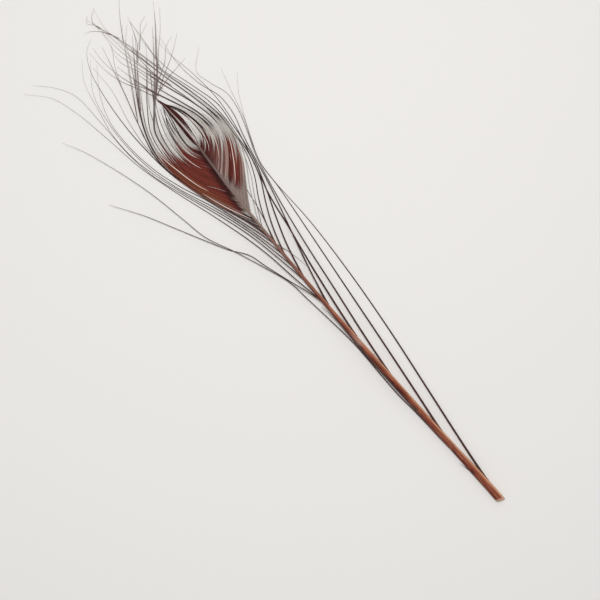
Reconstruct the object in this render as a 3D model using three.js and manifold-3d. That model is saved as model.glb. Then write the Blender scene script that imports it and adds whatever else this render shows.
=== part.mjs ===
// Stripped peacock eye feather, lying on a surface, in millimetres.
//
// +X runs from the cut end of the shaft to the tips, +Y is the feather's left side and +Z is up.
// The origin is at the middle of the bottom of its box, so the surface is at z = 0.
// A feather grows as one piece: the shaft, its barbs and the locks of the eye are one solid.
// Every route below is written from the middle of the cut end, along and across the feather.

import * as THREE from 'three';
import Module from 'manifold-3d';

const wasm = await Module();
wasm.setup();

// Where the origin is, from the middle of the cut end.
const ORIGIN = { along: 114.2, across: 7.3 };

// The shaft: place along and across, height of its underside, and its width and depth.
const SHAFT = [
  { x: -0.3, y: 0.3, under: 0, width: 3.1, depth: 2.7 },
  { x: 7, y: 0.5, under: 0, width: 3.0, depth: 2.6 },
  { x: 14, y: 0.8, under: 0.05, width: 2.9, depth: 2.5 },
  { x: 24, y: 1.25, under: 0.5, width: 2.5, depth: 2.4 },
  { x: 36, y: 1.75, under: 1.1, width: 2.35, depth: 2.25 },
  { x: 50, y: 2.1, under: 1.9, width: 2.15, depth: 2.1 },
  { x: 64, y: 2.5, under: 2.6, width: 2.0, depth: 1.95 },
  { x: 80, y: 3.0, under: 3.1, width: 1.9, depth: 1.75 },
  { x: 95, y: 3.3, under: 3.1, width: 1.5, depth: 1.5 },
  { x: 110, y: 3.35, under: 2.7, width: 1.2, depth: 1.3 },
  { x: 125, y: 3.3, under: 2.0, width: 1.05, depth: 1.2 },
  { x: 138, y: 3.15, under: 1.4, width: 0.95, depth: 1.15 },
  { x: 150, y: 2.9, under: 0.95, width: 1.0, depth: 1.1 },
  { x: 160, y: 2.5, under: 0.7, width: 0.95, depth: 1.1 },
  { x: 168, y: 2.05, under: 0.6, width: 0.8, depth: 1.05 },
  { x: 176, y: 1.65, under: 0.55, width: 0.6, depth: 0.95 },
  { x: 182, y: 1.6, under: 0.6, width: 0.5, depth: 0.75 },
  { x: 187, y: 1.9, under: 0.7, width: 0.4, depth: 0.5 },
  { x: 191.7, y: 2.9, under: 0.8, width: 0.2, depth: 0.3 },
];
const SHAFT_SIDES = 8;
const SHAFT_STEPS = 30;
// How much its measures ease in and out between stations: 0 is straight, 1 is an S curve.
const EASED = 0.5;
// The end is cut across at a slant: its left edge is this much further along than its right edge.
const CUT_SLANT = 1.1;

// The locks: strips that lie in three decks, so that neighbours pass over one another.
const LOCK_DEPTH = 0.3;
const DECK_PITCH = 0.37;
const DECKS = 3;
const MIDDLE_DECK = 1;
const LOCK_STEPS = 12;
// Where the shaft is thin its decks are closer: this share of its depth at most.
const THIN_PITCH = 0.25;
// The part of its length over which a lock comes down from the shaft to its deck.
const DRAPE = 0.45;
// Past the eye the left locks cross over the right ones.
const CROSSING = { from: 182, to: 194, lift: DECKS * DECK_PITCH };

// Widths at the root, at the fullest place and at the tip.
const EYE_LOCK = { root: 0.7, full: 1.0, fullAt: 0.3, tip: 0.3 };
const LOOSE_BARB = { root: 0.55, full: 0.5, fullAt: 0.3, tip: 0.28 };
const FAR_END = { root: 0.4, full: 0.35, fullAt: 0.2, tip: 0.25 };
const FAR_END_STEPS = 4;

// Guides of the eye's left side, from the outermost lock to the one beside the shaft's tip.
const LEFT_GUIDES = [
  [[129, 3.3], [138, 6.7], [150, 11.3], [163, 15.0], [174, 16.3],
    [185, 13.9], [198, 10.2], [208, 7.1], [222, 2.3]],
  [[132, 3.3], [140, 6.6], [151, 11.0], [163, 14.5], [174, 15.6],
    [184, 12.9], [194, 7.4], [205, -0.2], [218, -8.3]],
  [[138, 3.2], [145, 6.9], [154, 10.9], [163, 13.4], [173, 14.4],
    [182, 12.6], [191, 7.6], [202, -0.4], [214, -9.5]],
  [[143, 3.1], [149, 6.9], [157, 10.6], [165, 12.3], [173, 12.3],
    [181, 10.4], [188, 4.6], [197, -4.0], [216, -18.5]],
  [[148, 3.0], [153, 6.2], [159, 9.0], [166, 10.3], [173, 10.4],
    [180, 8.9], [187, 5.5], [196, 0.0], [207, -7.5]],
  [[154, 2.8], [158, 5.3], [163, 7.4], [168, 8.3], [174, 8.0],
    [180, 6.8], [186, 4.4], [193, 0.6], [201, -5.5]],
  [[160, 2.5], [163, 4.4], [167, 6.0], [171, 6.5], [176, 6.0],
    [181, 4.9], [185, 3.4], [190, 1.2], [195, -2.0]],
  [[164, 2.3], [167, 3.9], [170, 4.6], [174, 4.4], [178, 3.9],
    [181, 3.3], [184, 2.8], [187, 2.1], [191, 1.4]],
  [[168, 2.05], [170, 2.15], [173, 2.35], [176, 2.5], [179, 2.65],
    [182, 2.6], [185, 2.3], [188, 2.2], [191, 2.8]],
];
// How many locks there are from each guide to the next, with the guide's own.
const LEFT_LOCKS_BETWEEN = [2, 2, 3, 3, 2, 2, 2, 2];

// Guides of the eye's right side, in the same order.
const RIGHT_GUIDES = [
  [[127, 3.2], [134, 0.4], [142, -2.9], [150, -7.6], [158, -10.9],
    [167, -11.9], [178, -10.4], [197, -5.2], [222, 2.2]],
  [[139.5, 3.1], [144, 0.1], [149, -3.7], [154, -7.3], [160, -9.9],
    [168, -10.9], [178, -9.6], [197, -4.6], [220, 1.3]],
  [[144, 3.0], [149, 0.3], [153, -3.2], [158, -6.6], [163, -9.0],
    [170, -10.0], [180, -8.3], [197, -4.2], [218, 0.4]],
  [[149, 2.9], [152, 0.6], [156, -2.8], [160, -5.8], [165, -8.0],
    [171, -8.7], [180, -6.8], [194, -2.1], [214, 1.8]],
  [[154, 2.8], [157, -0.2], [161, -3.6], [165, -5.9], [170, -6.7],
    [176, -5.9], [183, -3.6], [193, -0.2], [206, 3.4]],
  [[158, 2.6], [161, -0.6], [164, -3.1], [168, -4.7], [172, -5.0],
    [177, -4.1], [183, -1.4], [191, 2.8], [210, 10.2]],
  [[161, 2.45], [163, -0.2], [166, -2.2], [170, -3.3], [174, -3.1],
    [179, -1.7], [184, 0.8], [190, 2.6], [199, 5.6]],
  [[164, 2.3], [166, 0.1], [169, -1.4], [173, -2.0], [177, -1.5],
    [181, -0.3], [184, 1.1], [188, 2.1], [192, 3.0]],
  [[167, 2.1], [169, 1.2], [172, 0.75], [175, 0.55], [178, 0.55],
    [181, 0.85], [184, 1.3], [187, 1.8], [190, 2.4]],
];
const RIGHT_LOCKS_BETWEEN = [3, 2, 3, 3, 2, 2, 2, 2];

// Barbs that stand apart from the eye, each with the height at which its far half lies.
const LOOSE_BARBS = [
  // The stray that runs beside the shaft and then bends out to the left, and its neighbours.
  { low: 2.6,
    route: [[22, 1.9], [32, 2.9], [50, 4.1], [62, 4.35], [78, 4.7], [100, 7.1], [108.5, 8.2],
      [118, 11.6], [129, 16.0], [140, 20.9], [150, 22.9], [165, 25.9], [180, 30.3], [192, 34.8],
      [199, 38.5]] },
  { low: 2.2,
    route: [[95, 3.4], [100, 5.4], [109, 8.3], [118, 10.9], [125, 13.0], [131, 17.2], [138, 21.3],
      [150, 27.7], [160, 33.0], [171.5, 40.5]] },
  { low: 4.4,
    route: [[36, 2.4], [50, 3.0], [62, 3.5], [74, 4.0], [88, 4.1], [94.5, 5.05]] },
  // The loose barbs outside the eye's left side.
  { low: 0.9,
    route: [[94, 3.4], [108, 5.8], [120, 7.55], [130, 9.75], [145, 14.1], [160, 18.9], [175, 22.9],
      [190, 25.2], [205, 28.0], [214, 31.2], [221.5, 38.0]] },
  { low: 0.5,
    route: [[104.5, 3.4], [116, 5.4], [130, 8.15], [142, 11.8], [155, 16.5], [168, 20.9], [180, 22.9],
      [196, 23.3], [209, 24.1], [216, 27.8], [222, 33.5]] },
  { low: 0.15,
    route: [[111, 3.4], [120, 5.1], [130, 7.2], [142, 10.9], [155, 15.9], [168, 20.2], [179, 22.6],
      [190, 22.9], [200, 21.1], [211, 18.5], [218, 13.8]] },
  { low: 0.15,
    route: [[117, 3.4], [125, 5.2], [135, 7.9], [146, 11.7], [160, 17.4], [173, 20.6], [186, 21.7],
      [197, 20.9], [206, 18.6], [216, 11.5]] },
  { low: 0.55,
    route: [[122, 3.3], [130, 5.5], [140, 8.8], [150, 12.7], [160, 16.6], [171, 19.6], [182, 21.0],
      [194, 20.6], [204, 17.0], [213, 11.0]] },
  { low: 0.15,
    route: [[125.5, 3.3], [134, 5.5], [145, 9.6], [155, 13.2], [166, 15.9], [177, 17.1], [189, 17.4],
      [203, 16.2], [213, 14.1], [219, 10.6], [221.5, 6.5]] },
  // The long barbs that leave the right side of the shaft.
  { low: 0.15,
    route: [[8, -0.4], [24, -2.2], [48, -5.3], [72, -8.3], [96, -10.5], [120, -11.6], [140, -11.05],
      [149, -11.7], [157, -14.6], [166, -18.4], [173, -22.0], [178.5, -26.0]] },
  { low: 0.15,
    route: [[32, 0.9], [48, -1.1], [72, -3.9], [96, -6.5], [120, -9.1], [138, -10.9], [147, -11.3],
      [155, -13.6], [165, -17.5], [175, -20.1], [183.5, -22.5]] },
  { low: 0.55,
    route: [[59, 1.9], [76, -0.05], [96, -2.7], [114, -5.0], [132, -7.8], [144, -10.2], [152, -12.2],
      [160, -15.2], [168, -17.7], [175, -18.3], [182, -16.0], [188, -14.9], [194, -21.0]] },
  { low: 0.15,
    route: [[78, 2.4], [92, 0.6], [108, -1.7], [124, -4.4], [136, -6.2], [146, -8.7], [155, -11.0],
      [165, -13.3], [176, -14.4], [188, -13.5], [200, -11.4], [208, -11.0]] },
  { low: 0.55,
    route: [[93, 2.8], [106, 0.0], [120, -3.6], [132, -6.8], [142, -9.3], [150, -10.9], [160, -13.2],
      [168, -15.4], [176, -15.6], [184, -13.0], [195, -11.6], [206, -12.8]] },
  { low: 0.9,
    route: [[107, 3.1], [120, 0.0], [130, -3.4], [140, -7.2], [150, -9.9], [159, -11.6], [166, -12.7],
      [174, -13.3], [184, -10.9], [196, -7.6], [206, -7.0], [217, -8.2]] },
  { low: 0.15,
    route: [[117.5, 3.1], [128, -0.2], [136, -3.8], [144, -7.9], [152, -10.2], [160, -11.2], [168, -12.0],
      [177, -11.5], [186, -9.2], [196, -6.0], [210, -2.6], [220, 0.3], [229.4, -1.0]] },
  { low: 0.9,
    route: [[122.5, 3.0], [131, 0.6], [138, -2.3], [146, -6.4], [154, -9.3], [163, -10.8], [173, -11.0],
      [184, -8.8], [196, -5.6], [211, -1.9], [228, 3.6]] },
];

// Far ends that leave a lock or a barb at its own height there and fan out, down to the surface.
const FAR_ENDS = [
  { start: 2.0, route: [[205, -0.2], [210, -2.2], [218, -5.2]] },
  { start: 2.0, route: [[205, -0.2], [210, -6.5], [213, -12.8]] },
  { start: 1.63, route: [[197, -4.0], [202, -8.8], [208, -14.6], [214, -19.4]] },
  { start: 1.63, route: [[197, -4.0], [199.6, -10.5], [203, -18.4]] },
  { start: 1.61, route: [[193, 0.6], [193.3, -6.6], [194.4, -15]] },
  { start: 0.15, route: [[210, -2.6], [217, -4.4], [226, -10.4]] },
  { start: 0.89, route: [[191, 2.8], [200, 7.2], [210, 10], [218, 10.4]] },
  { start: 0.15, route: [[220, 0.3], [223, 4], [224.4, 7.4]] },
  { start: 0.15, route: [[174, 16.3], [190, 15.4], [202, 12.9], [213, 12.8]] },
];

const FEATHER_MATERIAL = new THREE.MeshStandardMaterial({ color: 0x5c3a2e, roughness: 0.55, metalness: 0 });

const { lerp, smoothstep } = THREE.MathUtils;

/** The shaft's measures at a place along the feather, worked out between its stations. */
function shaftAt(x) {
  const next = Math.max(1, SHAFT.findIndex((station) => station.x >= x));
  const a = SHAFT[next - 1];
  const b = SHAFT[next];
  const share = lerp((x - a.x) / (b.x - a.x), smoothstep(x, a.x, b.x), EASED);
  const at = (key) => lerp(a[key], b[key], share);
  return { y: at('y'), under: at('under'), width: at('width'), depth: at('depth') };
}

/** A closed body of rings: each ring is a loop of points, with the same number of points in all. */
function loft(rings) {
  const sides = rings[0].length;
  const positions = rings.flat().flatMap((point) => point.toArray());
  const triangles = [];
  for (let ring = 0; ring + 1 < rings.length; ring += 1) {
    for (let side = 0; side < sides; side += 1) {
      const a = ring * sides + side;
      const b = ring * sides + (side + 1) % sides;
      triangles.push(a, b, b + sides, a, b + sides, a + sides);
    }
  }
  const last = (rings.length - 1) * sides;
  for (let side = 1; side + 1 < sides; side += 1) {
    triangles.push(0, side + 1, side);
    triangles.push(last, last + side, last + side + 1);
  }
  const geometry = new THREE.BufferGeometry();
  geometry.setAttribute('position', new THREE.Float32BufferAttribute(positions, 3));
  geometry.setIndex(triangles);
  return geometry;
}

/** One loop of points round a place on a route, across its direction and kept upright. */
function ringAt(centre, direction, outline) {
  const across = new THREE.Vector3(-direction.y, direction.x, 0).normalize();
  const up = new THREE.Vector3().crossVectors(direction, across);
  return outline.map(([side, rise]) => {
    const point = centre.clone().addScaledVector(across, side);
    return point.addScaledVector(up, rise);
  });
}

/** The shaft: eight sided, flat below, highest in the middle of its length, cut at a slant. */
function shaft() {
  const centres = SHAFT.map(({ x, y, under, depth }) => new THREE.Vector3(x, y, under + depth / 2));
  const curve = new THREE.CatmullRomCurve3(centres, false, 'centripetal');
  const flat = 1 / Math.cos(Math.PI / SHAFT_SIDES);
  const rings = [];
  for (let step = 0; step <= SHAFT_STEPS; step += 1) {
    const centre = curve.getPointAt(step / SHAFT_STEPS);
    const { under, width, depth } = shaftAt(centre.x);
    centre.z = under + depth / 2;
    const ring = [];
    for (let side = 0; side < SHAFT_SIDES; side += 1) {
      const angle = (side + 0.5) / SHAFT_SIDES * 2 * Math.PI;
      const y = Math.cos(angle) * flat * width / 2;
      const z = Math.sin(angle) * flat * depth / 2;
      const slant = step === 0 ? CUT_SLANT * y / width : 0;
      ring.push(new THREE.Vector3(centre.x + slant, centre.y + y, centre.z + z));
    }
    rings.push(ring);
  }
  return loft(rings);
}

/** How high on the shaft's side a lock of this deck grows from it. */
function rootHeight(x, deck) {
  const { under, depth } = shaftAt(x);
  return under + depth / 2 + (deck - (DECKS - 1) / 2) * Math.min(DECK_PITCH, depth * THIN_PITCH);
}

/** A strip's width at a share of its length. */
function widthAt(widths, share) {
  if (share < widths.fullAt) {
    return lerp(widths.root, widths.full, share / widths.fullAt);
  }
  return lerp(widths.full, widths.tip, (share - widths.fullAt) / (1 - widths.fullAt));
}

/** A strip along a route, which comes down from its start to its low height and narrows to its tip. */
function strip({ route, start, low, widths, lift = 0, steps = LOCK_STEPS }) {
  const points = route.map(([x, y]) => new THREE.Vector3(x, y, 0));
  const flatCurve = new THREE.CatmullRomCurve3(points, false, 'centripetal');
  const h = LOCK_DEPTH / 2;
  const rings = [];
  for (let step = 0; step <= steps; step += 1) {
    const share = step / steps;
    const centre = flatCurve.getPointAt(share);
    const direction = flatCurve.getTangentAt(share);
    const crossing = lift * smoothstep(centre.x, CROSSING.from, CROSSING.to);
    centre.z = lerp(start, low, smoothstep(share, 0, DRAPE)) + crossing;
    const w = widthAt(widths, share) / 2;
    rings.push(ringAt(centre, direction, [[w, -h], [w, h], [-w, h], [-w, -h]]));
  }
  return loft(rings);
}

/** The locks of one side of the eye: its guides, with more locks evenly between each two. */
function eyeSide(guides, between, lift) {
  const routes = [];
  guides.slice(0, -1).forEach((guide, index) => {
    const next = guides[index + 1];
    for (let lock = 0; lock < between[index]; lock += 1) {
      const share = lock / between[index];
      routes.push(guide.map(([x, y], i) => [lerp(x, next[i][0], share), lerp(y, next[i][1], share)]));
    }
  });
  routes.push(guides[guides.length - 1]);
  return routes.map((route, index) => {
    const deck = index % DECKS;
    const low = LOCK_DEPTH / 2 + deck * DECK_PITCH;
    return strip({ route, start: rootHeight(route[0][0], deck), low, widths: EYE_LOCK, lift });
  });
}

/** One barb that stands apart. */
function looseBarb({ route, low }) {
  return strip({ route, start: rootHeight(route[0][0], MIDDLE_DECK), low, widths: LOOSE_BARB });
}

/** One far end, from the lock that it leaves. */
function farEnd({ route, start }) {
  return strip({ route, start, low: LOCK_DEPTH / 2, widths: FAR_END, steps: FAR_END_STEPS });
}

/** A closed mesh as a solid that can be joined. */
function toSolid(geometry) {
  const vertProperties = geometry.getAttribute('position').array;
  const triVerts = new Uint32Array(geometry.getIndex().array);
  return new wasm.Manifold(new wasm.Mesh({ numProp: 3, vertProperties, triVerts }));
}

/** A solid back as geometry. */
function toGeometry(solid) {
  const { vertProperties, triVerts } = solid.getMesh();
  const geometry = new THREE.BufferGeometry();
  geometry.setAttribute('position', new THREE.Float32BufferAttribute(vertProperties, 3));
  geometry.setIndex(Array.from(triVerts));
  return geometry;
}

/** The whole feather as it grew: the shaft with every barb and lock joined to it. */
function feather() {
  const pieces = [
    shaft(),
    ...LOOSE_BARBS.map(looseBarb),
    ...eyeSide(LEFT_GUIDES, LEFT_LOCKS_BETWEEN, CROSSING.lift),
    ...eyeSide(RIGHT_GUIDES, RIGHT_LOCKS_BETWEEN, 0),
    ...FAR_ENDS.map(farEnd),
  ];
  const whole = pieces.map(toSolid).reduce((joined, piece) => joined.add(piece));
  const geometry = toGeometry(whole);
  geometry.translate(-ORIGIN.along, -ORIGIN.across, 0);
  const mesh = new THREE.Mesh(geometry, FEATHER_MATERIAL);
  mesh.name = 'feather';
  return mesh;
}

const part = new THREE.Group();
part.name = 'stripped_peacock_eye_feather';
part.add(feather());

export default part;
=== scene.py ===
"""A stripped peacock eye feather lying on a pale table, seen from straight above.

Its shaft, its long loose barbs and the fine barbs of its eye follow routes that are written in
millimetres from the middle of the cut end, along and across the feather.
"""

import math
from types import SimpleNamespace

import bpy
import numpy as np
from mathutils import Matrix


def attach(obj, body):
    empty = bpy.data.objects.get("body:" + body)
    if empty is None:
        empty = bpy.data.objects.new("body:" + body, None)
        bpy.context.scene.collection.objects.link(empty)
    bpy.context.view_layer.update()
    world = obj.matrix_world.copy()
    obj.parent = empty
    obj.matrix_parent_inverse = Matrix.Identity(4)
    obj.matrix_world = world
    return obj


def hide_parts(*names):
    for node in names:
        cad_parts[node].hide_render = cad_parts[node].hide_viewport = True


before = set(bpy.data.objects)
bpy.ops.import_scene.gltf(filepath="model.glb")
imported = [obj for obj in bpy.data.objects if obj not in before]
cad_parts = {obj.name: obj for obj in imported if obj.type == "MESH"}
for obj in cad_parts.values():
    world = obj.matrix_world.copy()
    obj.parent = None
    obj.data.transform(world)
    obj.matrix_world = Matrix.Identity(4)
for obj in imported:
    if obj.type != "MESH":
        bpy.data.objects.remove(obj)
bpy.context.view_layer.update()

MM = 0.001
ORIGIN_ALONG, ORIGIN_ACROSS = 114.2, 7.3
CHANCE = np.random.default_rng(7)

# The shaft: place along and across, height of its underside, width and depth.
SHAFT = np.array([
    (-0.3, 0.3, 0, 3.1, 2.7), (7, 0.5, 0, 3.0, 2.6), (14, 0.8, 0.05, 2.9, 2.5),
    (24, 1.25, 0.5, 2.5, 2.4), (36, 1.75, 1.1, 2.35, 2.25), (50, 2.1, 1.9, 2.15, 2.1),
    (64, 2.55, 2.6, 2.15, 1.95), (80, 3.0, 3.1, 1.9, 1.75), (95, 3.3, 3.1, 1.5, 1.5),
    (110, 3.35, 2.7, 1.2, 1.3), (125, 3.3, 2.0, 1.05, 1.2), (138, 3.15, 1.4, 0.95, 1.15),
    (150, 2.85, 0.95, 1.0, 1.1), (160, 2.3, 0.7, 0.95, 1.1), (168, 1.8, 0.6, 0.85, 1.05),
    (176, 1.75, 0.55, 0.8, 0.95), (182, 1.8, 0.6, 0.8, 0.75), (187, 1.95, 0.7, 0.55, 0.5),
    (191.7, 2.8, 0.8, 0.2, 0.3),
])
CUT_SLANT = 1.1
# Dark blotches on it: place along and across, half length and half width.
BLOTCHES = [(14, 1.7, 1.1, 0.5), (23.5, 2.1, 1.2, 0.5), (45, 2.7, 1.6, 0.45), (75, 3.5, 1.3, 0.45)]

# Heights: that of the lowest fine barbs, how much higher the highest lie, and the share of its length
# over which a barb comes down from the shaft.
LOWEST = 0.15
STACK = 0.74
DRAPE = 0.45
# Where along the feather the left barbs rise over the right ones, and by how much.
CROSSING_FROM, CROSSING_TO, CROSSING_LIFT = 182, 194, 1.11

# Guides of the eye's left side, from the outermost to the one beside the shaft's tip.
LEFT_GUIDES = [
    [(129, 3.3), (138, 6.8), (150, 11.5), (163, 15.3), (174, 16.3),
     (185, 13.9), (198, 10.2), (208, 7.1), (222, 2.3)],
    [(132, 3.3), (140, 6.6), (151, 11.0), (163, 14.5), (174, 15.6),
     (184, 12.9), (194, 7.4), (205, -0.2), (218, -8.3)],
    [(138, 3.2), (145, 6.9), (154, 10.9), (163, 13.4), (173, 14.4),
     (182, 12.6), (191, 7.6), (202, -0.4), (214, -9.5)],
    [(143, 3.1), (149, 6.9), (157, 10.5), (165, 12.1), (173, 12.0),
     (181, 10.4), (188, 4.6), (197, -4.0), (216, -18.5)],
    [(148, 3.0), (153, 6.2), (159, 9.0), (166, 10.3), (173, 10.4),
     (180, 8.9), (187, 5.5), (196, 0.0), (207, -7.5)],
    [(154, 2.8), (158, 5.3), (163, 7.4), (168, 8.3), (174, 8.0),
     (180, 6.8), (186, 4.4), (193, 0.6), (201, -5.5)],
    [(160, 2.5), (163, 4.4), (167, 6.0), (171, 6.5), (176, 6.0),
     (181, 4.9), (185, 3.4), (190, 1.2), (195, -2.0)],
    [(164, 2.3), (167, 3.9), (170, 4.6), (174, 4.4), (178, 3.9),
     (181, 3.3), (184, 2.8), (187, 2.1), (191, 1.4)],
    [(168, 1.95), (170, 2.0), (173, 2.1), (176, 2.2), (179, 2.35),
     (182, 2.4), (185, 2.2), (188, 2.15), (191, 2.7)],
]
# Guides of the eye's right side, in the same order.
RIGHT_GUIDES = [
    [(127, 3.2), (134, 0.4), (142, -2.9), (150, -7.6), (158, -10.9),
     (167, -11.9), (178, -10.4), (197, -5.2), (222, 2.2)],
    [(139.5, 3.1), (144, 0.1), (149, -3.7), (154, -7.3), (160, -9.9),
     (168, -10.9), (178, -9.6), (197, -4.6), (220, 1.3)],
    [(144, 3.0), (149, 0.3), (153, -3.2), (158, -6.6), (163, -9.0),
     (170, -10.0), (180, -8.3), (197, -4.2), (218, 0.4)],
    [(149, 2.9), (152, 0.6), (156, -2.8), (160, -5.8), (165, -8.0),
     (171, -8.7), (180, -6.8), (194, -2.1), (214, 1.8)],
    [(154, 2.8), (157, -0.2), (161, -3.6), (165, -5.9), (170, -6.7),
     (176, -5.9), (183, -3.6), (193, -0.2), (206, 3.4)],
    [(158, 2.6), (161, -0.6), (164, -3.1), (168, -4.7), (172, -5.0),
     (177, -4.1), (183, -1.4), (191, 2.8), (210, 10.2)],
    [(161, 2.3), (163, -0.2), (166, -2.2), (170, -3.3), (174, -3.2),
     (179, -2.2), (183, -0.7), (188, 2.1), (197, 5.2)],
    [(164, 2.3), (166, 0.1), (169, -1.5), (173, -2.1), (177, -1.8),
     (181, -0.8), (184, 0.7), (188, 2.1), (192, 3.0)],
    [(167, 1.9), (169, 1.2), (172, 0.95), (175, 0.9), (178, 0.95),
     (181, 1.1), (184, 1.4), (187, 1.8), (190, 2.4)],
]
# The patch of each side at places in its row of guides: where its barbs begin to lie flat along the
# feather, where their brown begins and ends, how grey it is (1) rather than red-brown (0), and the
# share of its barbs that lie flat.
LEFT_PATCH = np.array([
    (0, 143, 141, 166, 0.3, 0.5), (0.5, 141, 139, 169, 0.3, 0.75), (1.3, 139, 138, 173, 0.05, 0.95),
    (1.8, 136, 139, 171, 0, 1), (2.15, 136, 141, 170, 0, 1), (2.5, 136, 142.5, 172, 0, 1),
    (3.2, 137, 145, 173, 0, 1), (3.7, 140, 146.5, 170, 0, 1), (4.1, 142, 148.5, 167, 0, 1),
    (4.5, 147, 151, 168, 0, 1), (5, 150, 153, 171, 0, 1), (5.5, 153, 155.5, 171, 0, 1),
    (6, 156, 158, 167, 0, 1), (7, 160, 162, 167.5, 0, 1), (7.75, 163, 165, 168, 0, 1),
    (7.95, 163, 164, 186, 0, 1), (8, 163, 164, 186, 0, 1),
])
# On the right side the grey at places 3 to 5.3 is a painted sheen: pinkish grey where its barbs catch the
# light. The rest of the grey is the barbs' own colour.
RIGHT_PATCH = np.array([
    (0, 130, 150, 150, 1, 0), (0.4, 131, 150, 151, 1, 0.15), (0.9, 134, 149, 152, 1, 0.6),
    (1, 137, 147, 156, 0.75, 0.9), (1.2, 137, 146, 157, 0.35, 1), (1.45, 137, 146.5, 158, 0, 1),
    (1.88, 137, 147.5, 159, 0, 1), (2.15, 137, 149, 162, 0, 1), (2.75, 137, 150, 163.5, 0, 1),
    (3, 137, 152, 161, 0.7, 1), (3.9, 137, 154, 161.5, 0.75, 1), (4.6, 137, 155, 163.5, 0.55, 1),
    (5.3, 137, 157, 166.5, 0.22, 1), (6.5, 137, 159.5, 168, 0, 1), (7.15, 137, 161, 167.5, 0, 1),
    (7.3, 165, 163, 167.5, 0, 1), (8, 165, 163, 167.5, 0, 1),
])
# Pale seams in each patch: place in the row of guides, half their width, where they begin and end
# along the feather, and how pale they are.
LEFT_SEAMS = [(1.35, 0.1, 137, 151, 0.75)]
RIGHT_SEAMS = [(2.02, 0.05, 147, 165, 0.9)]
# The lines into which the barbs gather past the patch: place in the row of guides, number of barbs,
# and how much of the guide's length they reach.
LEFT_LINES = [
    (0.15, 3, 1), (1, 7, 1), (1.9, 1, 0.85), (2.3, 1, 0.85), (3, 5, 1), (3.9, 2, 0.85),
    (4.65, 1, 0.8), (5.45, 2, 0.78), (6.2, 2, 0.85), (6.85, 2, 0.9), (8, 3, 1),
]
RIGHT_LINES = [
    (2.02, 2, 0.5), (0.3, 1, 1), (1.75, 5, 1), (2.95, 3, 0.9), (3.95, 4, 1), (4.55, 4, 1),
    (6, 2, 0.8), (7, 1, 0.8),
]
LEFT = LEFT_GUIDES, LEFT_PATCH, LEFT_SEAMS, LEFT_LINES
RIGHT = RIGHT_GUIDES, RIGHT_PATCH, RIGHT_SEAMS, RIGHT_LINES
# What differs between the sides: how orange the patch is beside the quill (inner) and at its edge
# (outer), how much darker it gets towards its end, how unevenly it ends in mm, the share of their
# length that barbs between the lines keep (veil), the share of barbs that are left outside the patch
# (outside), where along the feather the lines turn dark, and from where in their length barbs gather.
LEFT_LOOK = {"inner": 0, "outer": 1, "darker": 0.3, "uneven": 1.8, "veil": 0.48, "outside": 0.06,
             "dark_from": 0, "gather_from": 0.22}
RIGHT_LOOK = {"inner": 0.12, "outer": 0.65, "darker": 0.5, "uneven": 2.1, "veil": 0.34, "outside": 0.32,
              "dark_from": 170, "gather_from": 0.34}
EYE_BARBS = 76
# Widths in mm of an eye barb: flat and fluffy on the patch, less where it is a seam, bare where it
# runs in a line from root to tip, and bare between the lines.
FLAT_WIDTH, SEAM_NARROWER = 0.5, 0.16
LINE_WIDTH, LINE_THINS_BY, VEIL_WIDTH = 0.53, 0.35, 0.18
# Far ends that leave the lines past the eye and fan out over each other: the height where each leaves,
# and its route.
FAR_ENDS = [
    (1.3, [(187, 13.2), (196, 8.2), (203, 4.2), (210, 0.1), (215, -2.6), (218, -5.2)]),
    (1.4, [(188, 12.6), (197, 7.2), (204, 3.2), (211, -0.9), (217, -6.5)]),
    (1.4, [(190, 9.4), (199, 3.0), (205, -1.2), (210, -6.5), (213, -12.8)]),
    (1.4, [(192, 8.4), (200, 2.6), (207, -2.6), (212, -6.0), (219, -8.6)]),
    (0.6, [(183, 9.2), (190, 5.8), (196, 1.4), (203, -4.2), (208, -7.6)]),
    (1.3, [(190, 2.2), (195, -2.6), (200, -6.6), (206, -11.2), (212, -15.6), (217.5, -19.2)]),
    (1.4, [(191, 1.4), (197, -4.4), (202, -8.8), (208, -14.6), (214, -19.4)]),
    (1.2, [(190.5, 1.0), (194, -4.4), (198, -11.5), (203, -18.4)]),
    (1.1, [(191, 0.6), (193, -6.6), (193.7, -11), (194.4, -15)]),
    (1.4, [(194, -2.0), (198, -8.4), (202, -12.4), (203.4, -16)]),
    (1.3, [(199, -5.6), (203, -8.2), (208, -12.4), (215, -17.6)]),
    (1.3, [(204, -0.9), (209, -4.8), (217, -8)]),
    (0.3, [(197, -5.8), (203, -6.9), (210, -7.7), (217.5, -8)]),
    (1.2, [(207, -4.2), (211, -7.8), (214, -10.4), (215.3, -13.6)]),
    (0.5, [(213, -1.6), (219, -5.2), (223, -8), (226, -10.4)]),
    (0.9, [(190, 2.2), (196, 4.8), (203, 8.3), (210, 10), (218, 10.4)]),
    (0.8, [(190, 1.2), (194, 2.6), (200, 5.8), (206, 7.6), (213, 8.6), (218.5, 8.2)]),
    (0.5, [(191, -1.6), (195, -0.6), (201, 0.9), (208, 3.9), (214, 3.6)]),
    (0.5, [(192, -2.6), (197, -1.2), (205, 1.2), (212, 2.9), (217, 2.5)]),
    (0.5, [(193, -3.4), (198, -2.0), (206, 0.3), (213, 1.6), (220, 2.1)]),
    (0.4, [(190, -4.8), (196, -2.8), (205, -0.6), (213, 0.4), (219, 1.2), (224, 2.6)]),
    (0.4, [(215, -1.2), (220, 0.9), (224, 2.2), (226.5, 4.2), (228.6, 2.4)]),
    (0.4, [(218, 0.2), (221.5, 2.6), (223.6, 5.2), (224.4, 7.4)]),
    (0.4, [(222, 1.9), (225.5, 2.4), (227.3, 1.4), (229.2, -1.4)]),
    (0.5, [(172, 16.1), (180, 16.5), (190, 15.4), (202, 12.9), (213, 12.8)]),
    (1.0, [(182, 14.8), (192, 11.8), (202, 8.9), (209, 6.1), (214, 3.1), (221, 2.1)]),
]

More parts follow.
